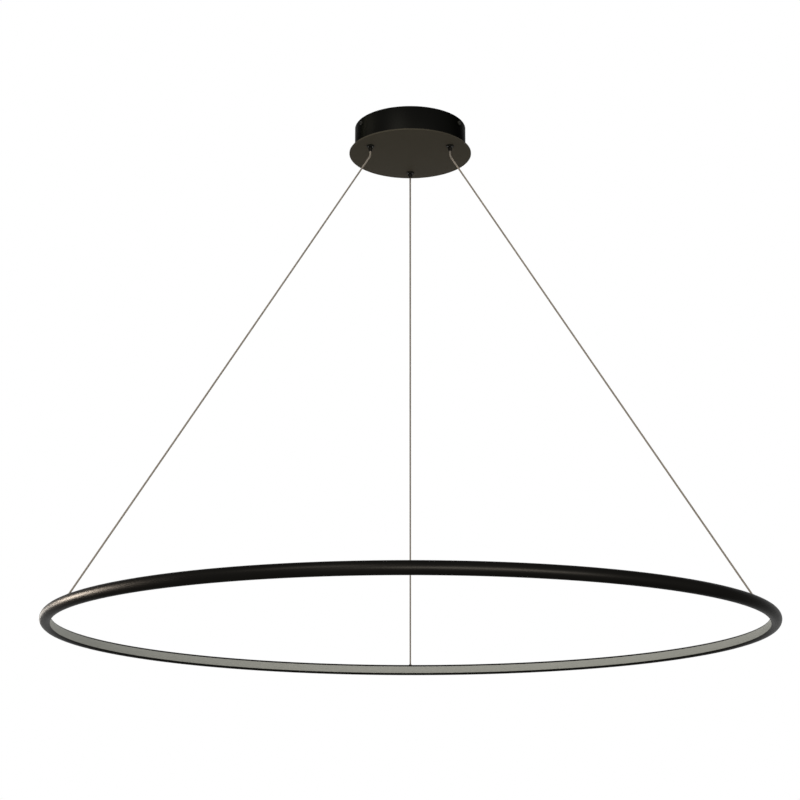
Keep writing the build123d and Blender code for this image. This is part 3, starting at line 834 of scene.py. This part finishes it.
# %% [markdown]
# ## The diffuser
# An opal strip snaps into the slot behind the lips. Its face is slightly domed. The dome is a
# parabola, and the legs and barbs that hold it follow the construction model. A flat face would be
# simpler, but the dome shades softly from edge to edge.

# %% Diffuser section
diffuser_half = 0.0065
face_edge = 0.00701
dome_height = 0.001
dome_points = 19
barb_face = 0.0043
barb_back = 0.0032
barb_half = 0.0068
diffuser_wall = 0.0016
edge_round = 0.0004


def diffuser_section():
    """Points (outwards, up): the domed face, then the upper leg, the hollow and the lower leg."""
    height = np.linspace(-diffuser_half, diffuser_half, dome_points)
    rise = dome_height * (1 - (height / diffuser_half) ** 2)
    dome = np.stack([-face_edge - rise, height], axis=1)
    hollow = diffuser_half - diffuser_wall
    front = face_edge - diffuser_wall
    upper = np.array([(-barb_face, diffuser_half), (-barb_face, barb_half), (-barb_back, barb_half),
                      (-barb_back, hollow), (-front, hollow)])
    lower = upper[::-1] * (1, -1)
    return np.vstack(
        [
            rounded_corner(lower[-1], dome[0], dome[1], edge_round),
            dome[2:-2],
            rounded_corner(dome[-2], dome[-1], upper[0], edge_round),
            upper,
            lower,
        ]
    )


print("diffuser section of", len(diffuser_section()), "points")

# %% [markdown]
# With the light off, the opal acrylic is white, and the soft warm grey that it is given is painted
# shade. It could let light through, but against the white strip behind it that hardly shows, so it
# is a matt surface with a little sheen and no bump.

# %% Opal finish and diffuser
def opal():
    """Warm grey, painted shade on white opal, with slow clouds and faint extruder lines along the
    strip.
    """
    nodes, surface = finish("opal_strip_painted_shade")
    clouds = nodes.noise(nodes.place(), scale=16.0, detail=3.0)
    lines = nodes.noise(nodes.stretch(nodes.place("UV"), (40.0, 90.0, 1.0)), scale=1.0)
    return surface(
        {
            # The warm grey is painted shade on a white opal strip.
            "Base Color": nodes.blend(clouds, rgb(0.316, 0.319, 0.287), rgb(0.348, 0.351, 0.318)),
            "Roughness": 0.54 + 0.04 * lines,
            "Specular IOR Level": 0.05,
        }
    )


piece("diffuser_strip", [round_the_ring(diffuser_section())], opal(), "ring", ["diffuser"],
      wrap_rows=True)

# %% [markdown]
# ## Cable anchors
# Where a cable enters the tube, a small nylon grommet lines the hole. It is turned about the
# cable's own line, sunk into the tube, with a rounded lip that stands just proud of the coat. A
# torus could stand for the lip, but the turned outline has the sleeve in the hole as well.

# %% Anchor grommets
grommet_bore = 0.0017
grommet_foot = 0.0024
grommet_lip = 0.0026
grommet_sunk = 0.002
grommet_proud = 0.0031
grommet_round = 0.00025
anchor_end = cable_route[-1]
anchor_lean = unit(cable_route[2] - anchor_end)

grommet_outline = softened(
    [
        (grommet_bore, -grommet_sunk),
        (grommet_foot, -grommet_sunk),
        (grommet_lip, grommet_proud),
        (grommet_bore, grommet_proud),
    ],
    grommet_round,
)
grommets = [
    turned(grommet_outline, spot(azimuth, *anchor_end), spot(azimuth, *anchor_lean), columns=40)
    for azimuth in cable_azimuths.values()
]
piece("anchor_grommets", grommets, collar_coat, "ring", ["anchor_plugs"],
      wrap_rows=True)

# %% [markdown]
# ## The canopy
# The canopy is a rolled steel cup on a wider flat plate. Both are turned shapes. The cup's outline
# is a closed loop, because it is a thin wall with a lip at its foot. A solid drum would look the
# same from below, but from above the wall, the lip and the bracket inside are seen.

# %% Cup
cup_low, cup_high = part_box("canopy_cup")
cup_radius = cup_high.x
cup_bottom = cup_low.z
cup_thickness = 0.0012
cup_lip = 0.0072
cup_round = 0.0004
canopy_columns = 288
wall_radius = cup_radius - cup_thickness
lip_radius = wall_radius - cup_lip
lip_top = cup_bottom + cup_thickness

cup_outline = softened(
    [
        (cup_radius, 0.0),
        (cup_radius, cup_bottom),
        (lip_radius, cup_bottom),
        (lip_radius, lip_top),
        (wall_radius, lip_top),
        (wall_radius, 0.0),
    ],
    cup_round,
)
cup = piece("cup_wall", [turned(cup_outline, columns=canopy_columns)], canopy_coat, "canopy",
            ["canopy_cup"], wrap_rows=True)

# %% [markdown]
# The plate's outline runs from axis to axis, so it closes by itself. Three studs are welded to its
# upper side, half way between the cables, where the cup's lip is held by nuts.

# %% Plate with its studs
plate_low, plate_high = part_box("canopy_plate")
plate_radius = plate_high.x
plate_bottom = plate_low.z
plate_round = 0.0008
stud_radius = 0.0015
stud_foot = cup_bottom - plate_round
stud_top = cup_bottom + 0.006
stud_circle = wall_radius - cup_lip / 2
stud_turn = radians(60)

plate_outline = capped(
    [
        (0.0, cup_bottom),
        (plate_radius, cup_bottom),
        (plate_radius, plate_bottom),
        (0.0, plate_bottom),
    ],
    plate_round,
)
stud_outline = capped(
    [(0.0, stud_foot), (stud_radius, stud_foot), (stud_radius, stud_top), (0.0, stud_top)],
    stud_radius / 4,
)
studs = [turned(stud_outline, spot(azimuth - stud_turn, stud_circle), columns=32)
         for azimuth in cable_azimuths.values()]
piece("plate_disc", [turned(plate_outline, columns=canopy_columns), *studs], plate_coat_painted_bounce, "canopy",
      ["canopy_plate"])

# %% [markdown]
# ## Cable grippers
# Under the plate each gripper shows a round nylon collar. It is turned, with a chamfer round its
# lower edge and a step inside, where it meets the gripper's thread. A bevelled cylinder would do
# from afar, but it has no bore for the nozzle.

# %% Collars
collar_radius = 0.007
collar_chamfer = 0.0063
collar_thread = 0.0046
collar_bore = 0.0036
collar_edge = plate_bottom - 0.0013
collar_step = plate_bottom - 0.0015
collar_bottom = plate_bottom - 0.00205
collar_round = 0.0002
gripper_columns = 72

collar_outline = softened(
    [
        (collar_thread, plate_bottom),
        (collar_radius, plate_bottom),
        (collar_radius, collar_edge),
        (collar_chamfer, collar_bottom),
        (collar_bore, collar_bottom),
        (collar_bore, collar_step),
        (collar_thread, collar_step),
    ],
    collar_round,
)
collars = [turned(collar_outline, spot(azimuth, gripper_radius), columns=gripper_columns)
           for azimuth in cable_azimuths.values()]
piece("collars", collars, collar_coat, "canopy", ["gripper_collars"], wrap_rows=True)

# %% [markdown]
# The small cone below the collar is the nozzle. Pushing it up frees the cable, so each nozzle is a
# piece of its own on a body of its own. Its outline goes round the cone, up the stem and down the
# bore, which widens at the mouth.

# %% Nozzles
nozzle_radius = (nozzle_high.x - nozzle_low.x) / 2
nozzle_shoulder = plate_bottom - 0.0041
tip_radius = 0.0026
mouth_radius = 0.00235
mouth_top = tip_z + 0.0012
bore_radius = 0.00175
stem_radius = 0.0034
nozzle_round = 0.0001

nozzle_outline = softened(
    [
        (mouth_radius, tip_z),
        (tip_radius, tip_z),
        (nozzle_radius, nozzle_shoulder),
        (stem_radius, nozzle_shoulder),
        (stem_radius, nozzle_high.z),
        (bore_radius, nozzle_high.z),
        (bore_radius, mouth_top),
    ],
    nozzle_round,
)
for side_name, azimuth in cable_azimuths.items():
    cone = turned(nozzle_outline, spot(azimuth, gripper_radius), columns=gripper_columns)
    piece(f"nozzle_{side_name}", [cone], nozzle_coat, f"release_{side_name}",
          [f"gripper_plunger_{side_name}"], wrap_rows=True)

# %% [markdown]
# The springs, the bracket and the fasteners are plated. A plating shows its crystals as small cells
# of a slightly different tone, which a Voronoi texture gives, and handling leaves clouds in its
# gloss.

# %% Metals
def plated(name, dark, bright, scale, roughness):
    """Metal whose tone follows cells, as the crystals of a plating do, and clouds. The roughness
    follows the clouds alone."""
    nodes, surface = finish(name)
    place = nodes.place()
    cells = nodes.add("ShaderNodeTexVoronoi", {}, {"Vector": place, "Scale": scale})
    clouds = nodes.noise(place, scale / 4)
    return surface(
        {
            "Base Color": nodes.blend(0.5 * cells + 0.5 * clouds, dark, bright),
            "Roughness": roughness + 0.15 * clouds,
            "Metallic": 1.0,
        }
    )


zinc = plated("zinc_plate", rgb(0.42, 0.43, 0.44), rgb(0.66, 0.67, 0.68),
              scale=260.0, roughness=0.32)
nickel = plated("nickel_plate", rgb(0.55, 0.53, 0.49), rgb(0.72, 0.7, 0.65),
                scale=400.0, roughness=0.2)
brass = plated("bare_brass", rgb(0.58, 0.42, 0.17), rgb(0.76, 0.6, 0.3),
               scale=400.0, roughness=0.26)
print("metals", zinc.name, nickel.name, brass.name)

# %% [markdown]
# A spring above each nozzle pushes it down. A plain sleeve could stand for it, but a wire carried
# along a helix is what it is. It stays with the canopy, with a mesh of its own.

# %% Springs
spring_low, spring_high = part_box("gripper_spring_rear")
spring_wire = 0.0006
spring_coils = 5
spring_mean = (spring_high.x - spring_low.x - spring_wire) / 2
spring_span = spring_high.z - spring_low.z


def coil(centre, rows=240, columns=10):
    """A round wire along a helix: the wire's circle lies in the plane of the axis and the arm that
    points from the axis to the helix."""
    share = np.linspace(0, 1, rows)
    angle = share * spring_coils * 2 * pi
    arm = np.stack([np.cos(angle), np.sin(angle), np.zeros(rows)], axis=1)
    climb = spring_low.z + spring_wire / 2 + share * (spring_span - spring_wire)
    line = centre + spring_mean * arm + climb[:, None] * up
    wire = round_profile(rows, columns, spring_wire / 2)
    return closed_ends(line[:, None] + wire[..., :1] * arm[:, None] + wire[..., 1:] * up, line)


for side_name, azimuth in cable_azimuths.items():
    press = f"release_{side_name}_press"
    spring = piece(f"spring_{side_name}", [coil(spot(azimuth, gripper_radius))], zinc, "canopy",
                   [f"gripper_spring_{side_name}"])
    top = spot(azimuth, gripper_radius, spring_high.z)
    1 - travel(press) / spring_span
    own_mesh(spring)

# %% [markdown]
# ## Side screws
# Three screws with rounded heads hold the cup on its bracket. The head is turned, but its socket is
# a hexagon, so the radius of those rows depends on the angle: the hexagon's half width over the
# cosine of the angle from the nearest flat's middle. Cutting the socket with a Boolean would leave
# a rougher mesh.

# %% Screws
screw_z = -0.010
head_radius = 0.0038
head_height = 0.0024
head_round = 0.0012
small_round = 0.0002
shank_round = 0.0003
socket_half = 0.00125
socket_depth = 0.0014
shank_radius = 0.002
shank_length = 0.009
screw_columns = 72


def screw(azimuth):
    """Rows are round from the shank's end to the head's face, and the last ones are hexagons."""
    rounds = [shank_round, shank_round, small_round, small_round, head_round, small_round]
    outline = capped(
        [
            (0.0, -shank_length),
            (shank_radius, -shank_length),
            (shank_radius, 0.0),
            (head_radius, 0.0),
            (head_radius, head_height),
            (socket_half, head_height),
        ],
        np.array(rounds)[:, None],
    )
    axis = outward(azimuth)
    place = spot(azimuth, cup_radius, screw_z)
    body = turned(outline[:-1], place, axis, screw_columns)
    angle = turn_angles(screw_columns)
    hexagon = socket_half / np.cos(from_nearest(angle, pi / 3))
    side = unit(np.cross(up, axis))
    around = np.cos(angle)[:, None] * side + np.sin(angle)[:, None] * np.cross(axis, side)
    rim = place + head_height * axis + hexagon[:, None] * around
    bottom = rim - socket_depth * axis
    middle = np.broadcast_to(place + (head_height - socket_depth) * axis, bottom.shape)
    return np.concatenate([body, rim[None], bottom[None], middle[None]])


screws = [screw(azimuth) for azimuth in cable_azimuths.values()]
piece("side_screw_set", screws, screw_coat, "canopy", ["side_screws"])

# %% [markdown]
# ## Finishes of the inner pieces
# Inside the canopy the construction model's own pieces are shown: the bracket, the driver, the
# terminal block, the leads and the grippers. Plastics have a fine moulding grain, and the earth
# lead carries the usual bands of green and yellow, from a wave texture that a colour ramp sharpens.

# %% Plastics
def moulded(name, tone, lighter, roughness):
    """Plastic or rubber: the tone moves with clouds, and a fine grain roughens the surface."""
    nodes, surface = finish(name)
    place = nodes.place()
    clouds = nodes.noise(place, scale=40.0)
    grain = nodes.noise(place, scale=2400.0)
    return surface(
        {
            "Base Color": nodes.blend(clouds, tone, lighter),
            "Roughness": roughness + 0.15 * grain,
            "Normal": nodes.bump(grain, strength=0.1, depth=0.00003),
        }
    )


def banded(name, tone, second, scale):
    """Insulation with bands of a second colour, from a wave across the piece."""
    nodes, surface = finish(name)
    wave = nodes.add("ShaderNodeTexWave", {"bands_direction": "DIAGONAL"},
                     {"Vector": nodes.place(), "Scale": scale}, output=1)
    stops = [(0.62, rgb(0, 0, 0)), (0.68, rgb(1, 1, 1))]
    mask = nodes.add("ShaderNodeValToRGB", {"stops": stops}, {"Fac": wave})
    return surface({"Base Color": nodes.blend(mask, tone, second), "Roughness": 0.35 + 0.1 * wave})


white_plastic = moulded("white_plastic", rgb(0.76, 0.76, 0.73), rgb(0.82, 0.82, 0.8), 0.4)
nylon = moulded("nylon", rgb(0.74, 0.73, 0.66), rgb(0.82, 0.81, 0.75), 0.4)
rubber = moulded("rubber", rgb(0.018, 0.018, 0.018), rgb(0.03, 0.03, 0.03), 0.65)
board = moulded("board", rgb(0.03, 0.14, 0.06), rgb(0.05, 0.2, 0.09), 0.3)
board_white = moulded("board_white", rgb(0.76, 0.75, 0.71), rgb(0.84, 0.83, 0.79), 0.35)
phosphor = moulded("phosphor", rgb(0.78, 0.6, 0.17), rgb(0.85, 0.68, 0.23), 0.5)
vinyl_brown = moulded("vinyl_brown", rgb(0.14, 0.06, 0.025), rgb(0.2, 0.09, 0.04), 0.3)
vinyl_blue = moulded("vinyl_blue", rgb(0.03, 0.13, 0.42), rgb(0.05, 0.18, 0.5), 0.3)
vinyl_red = moulded("vinyl_red", rgb(0.48, 0.03, 0.025), rgb(0.58, 0.05, 0.04), 0.3)
vinyl_black = moulded("vinyl_black", rgb(0.015, 0.015, 0.015), rgb(0.025, 0.025, 0.025), 0.3)
vinyl_earth = banded("vinyl_earth", rgb(0.1, 0.36, 0.06), rgb(0.75, 0.6, 0.06), scale=60.0)
print("finishes so far", len(bpy.data.materials))

# %% [markdown]
# The shapes of these pieces are right as they are, so their meshes stay and only their material
# slots change.

# %% Dress the inner pieces
sides = list(cable_azimuths)
dressed = [
    (zinc, ["plate_nuts", "ceiling_bracket", "module_screws", "terminal_screws", "anchor_balls"]),
    (zinc, [f"grip_balls_{side_name}" for side_name in sides]),
    (nickel, ["gripper_caps", *(f"gripper_body_{side_name}" for side_name in sides)]),
    (brass, ["terminal_inserts", "earth_screw", "cable_terminals"]),
    (rubber, ["mains_grommet"]),
    (white_plastic, ["driver_case", "driver_lid"]),
    (board, ["driver_board"]),
    (board_white, ["light_strip"]),
    (nylon, ["terminal_block"]),
    (collar_coat, ["gripper_bushes"]),
    (phosphor, ["light_bead"]),
    (sheath_finish, [f"cable_tail_{side_name}" for side_name in sides]),
    (vinyl_brown, ["live_lead"]),
    (vinyl_blue, ["neutral_lead"]),
    (vinyl_earth, ["earth_lead"]),
    (vinyl_red, ["positive_lead", "strip_lead_positive"]),
    (vinyl_black, ["negative_lead", "strip_lead_negative"]),
]
for material, names in dressed:
    for name in names:
        for holder in frame["nodes"][name].material_slots:
            holder.material = material
print("dressed", sum(len(names) for material, names in dressed), "inner pieces")

# %% [markdown]
# ## Flagged cards
# Two cards on the left give the streak on the tube's left bend and the soft edge of the cup. In a
# studio, flags keep such a card's light off everything else. Here each card is linked to the one
# piece that it is for, because on other pieces it would glare from some sides.

# %% Flagged cards
def flagged(card, shown):
    """Let the card light just one piece."""
    receivers = bpy.data.collections.new(card.name + "_receivers")
    receivers.objects.link(shown)
    card.light_linking.receiver_collection = receivers
    print(card.name, "lights", shown.name)


blush_white = (1.0, 0.91, 0.84)
left_bend = (-0.56, -0.2, -0.89)
cup_middle = (0.0, 0.0, -0.03)
left_card = softbox("left_card", place=(-2.9, 1.0, -0.6), size=(0.6, 1.3), power=36.0,
                    colour=blush_white, towards=left_bend, spread=28.0)
cup_card = softbox("cup_card", place=(-2.4, 0.4, 1.1), size=(1.2, 0.8), power=48.0,
                   towards=cup_middle)
flagged(left_card, ring_tube)
flagged(cup_card, cup)
